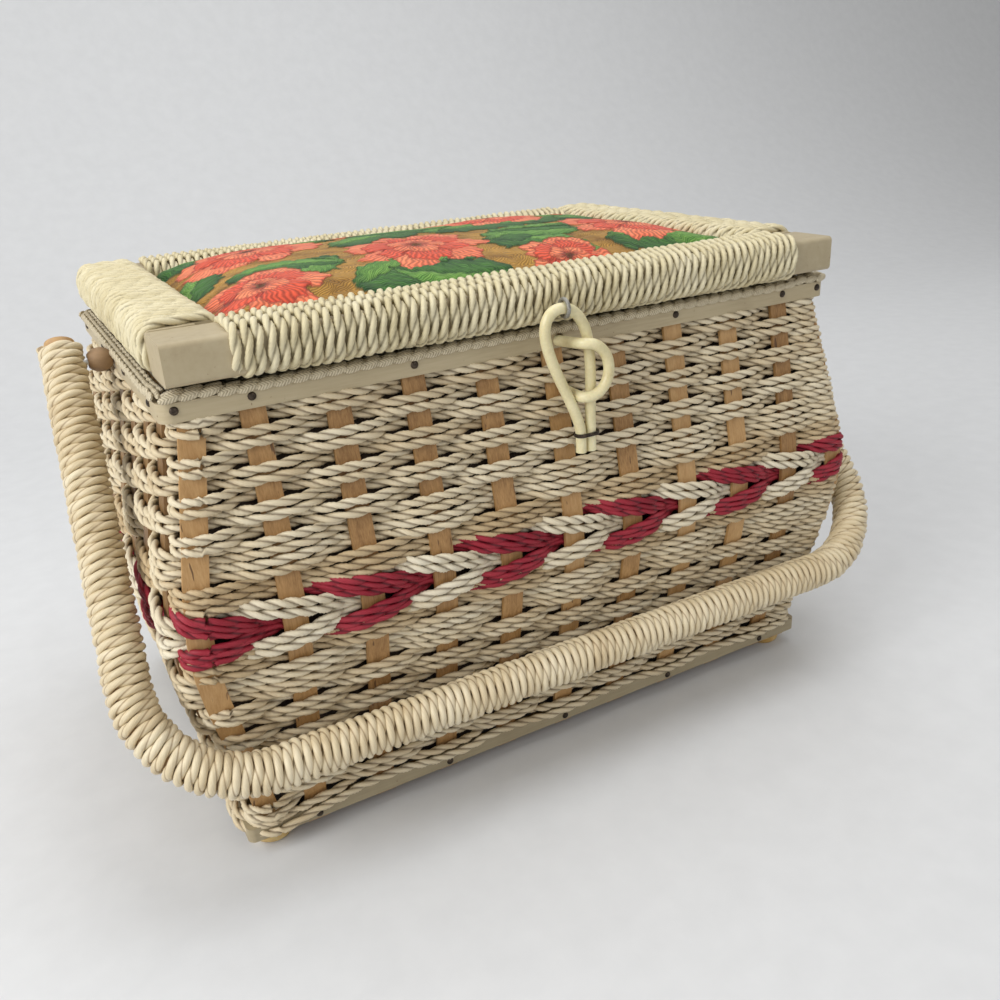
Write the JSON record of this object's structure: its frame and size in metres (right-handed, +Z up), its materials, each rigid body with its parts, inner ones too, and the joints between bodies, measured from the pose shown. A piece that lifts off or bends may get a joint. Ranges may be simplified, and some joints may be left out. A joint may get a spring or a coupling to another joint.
{
  "type": "wicker sewing basket",
  "caption": "Rectangular bellied wicker sewing basket with a padded hinged lid, a cord-wrapped swinging bail handle and a loop latch on the front.",
  "frame": {"origin": "middle of the part's bounding box on the floor plane, under the feet", "axes": "+X along the front to its right, +Y to the hinged back, +Z up"},
  "size_m": [0.3828, 0.2386, 0.2286],
  "materials": {
    "wall_cord": "twisted natural fibre cord, cream beige",
    "crimson_cord": "twisted fibre cord dyed crimson",
    "cane": "flat split cane with long grain, satin",
    "painted_strip": "painted greige cream, satin",
    "plain_wood": "bare, matt",
    "lid_cord": "twisted fibre cord, pale cream",
    "handle_cord": "twisted fibre cord, tan",
    "lining_cloth": "plain woven cloth, matt",
    "floral_cloth": "raised satin-stitch embroidery of coral flowers and green leaves on tan",
    "nail_metal": "dark grey brown",
    "bright_steel": "bright wire and screw steel",
    "hinge_brass": "plain pressed brass",
    "bead_wood": "brown stained, satin",
    "foot_amber": "amber varnish",
    "soft_tube": "soft vinyl tube, pale yellow cream"
  },
  "bodies": {
    "basket": {"upper_courses": "wall_cord", "arrow_crimson": "crimson_cord", "arrow_natural": "wall_cord", "lower_courses": "wall_cord", "front_stakes": "cane", "back_stakes": "cane", "left_stakes": "cane", "right_stakes": "cane", "rim_hoop": "painted_strip", "inner_hoop": "plain_wood", "base_hoop": "painted_strip", "gimp_braid": "lid_cord", "base_board": "plain_wood", "feet": "foot_amber", "lining": "lining_cloth", "rim_nails": "nail_metal", "base_nails": "nail_metal", "rim_hinge_leaves": "hinge_brass", "hinge_pins": "bright_steel", "handle_beads": "bead_wood", "handle_screws": "bright_steel", "keeper_loop": "soft_tube"},
    "handle": {"handle_core": "plain_wood", "handle_wrap": "handle_cord", "handle_tacks": "nail_metal"},
    "lid": {"lid_front_rail": "painted_strip", "lid_back_rail": "painted_strip", "lid_left_rail": "painted_strip", "lid_right_rail": "painted_strip", "lid_front_wrap": "lid_cord", "lid_back_wrap": "lid_cord", "lid_left_wrap": "lid_cord", "lid_right_wrap": "lid_cord", "lid_board": "plain_wood", "lid_lining": "lining_cloth", "lid_cushion": "floral_cloth", "lid_hinge_leaves": "hinge_brass", "latch_eye": "bright_steel"},
    "latch": {"latch_loop": "soft_tube", "loop_tie": "nail_metal"}
  },
  "joints": [
    {"name": "lid_hinge", "type": "hinge", "parent": "basket", "child": "lid", "pos_m": [0, 0.10605, 0.1979], "axis": [-1, 0, 0], "range_deg": [0, 120], "deforming": ["keeper_loop"]},
    {"name": "handle_swing", "type": "hinge", "parent": "basket", "child": "handle", "pos_m": [0, 0.00745, 0.1946], "axis": [-1, 0, 0], "range_deg": [0, 278.8]},
    {"name": "latch_swing", "type": "hinge", "parent": "lid", "child": "latch", "pos_m": [-0.001, -0.10175, 0.209], "axis": [-1, 0, 0], "range_deg": [0, 150], "deforming": ["keeper_loop"]}
  ]
}
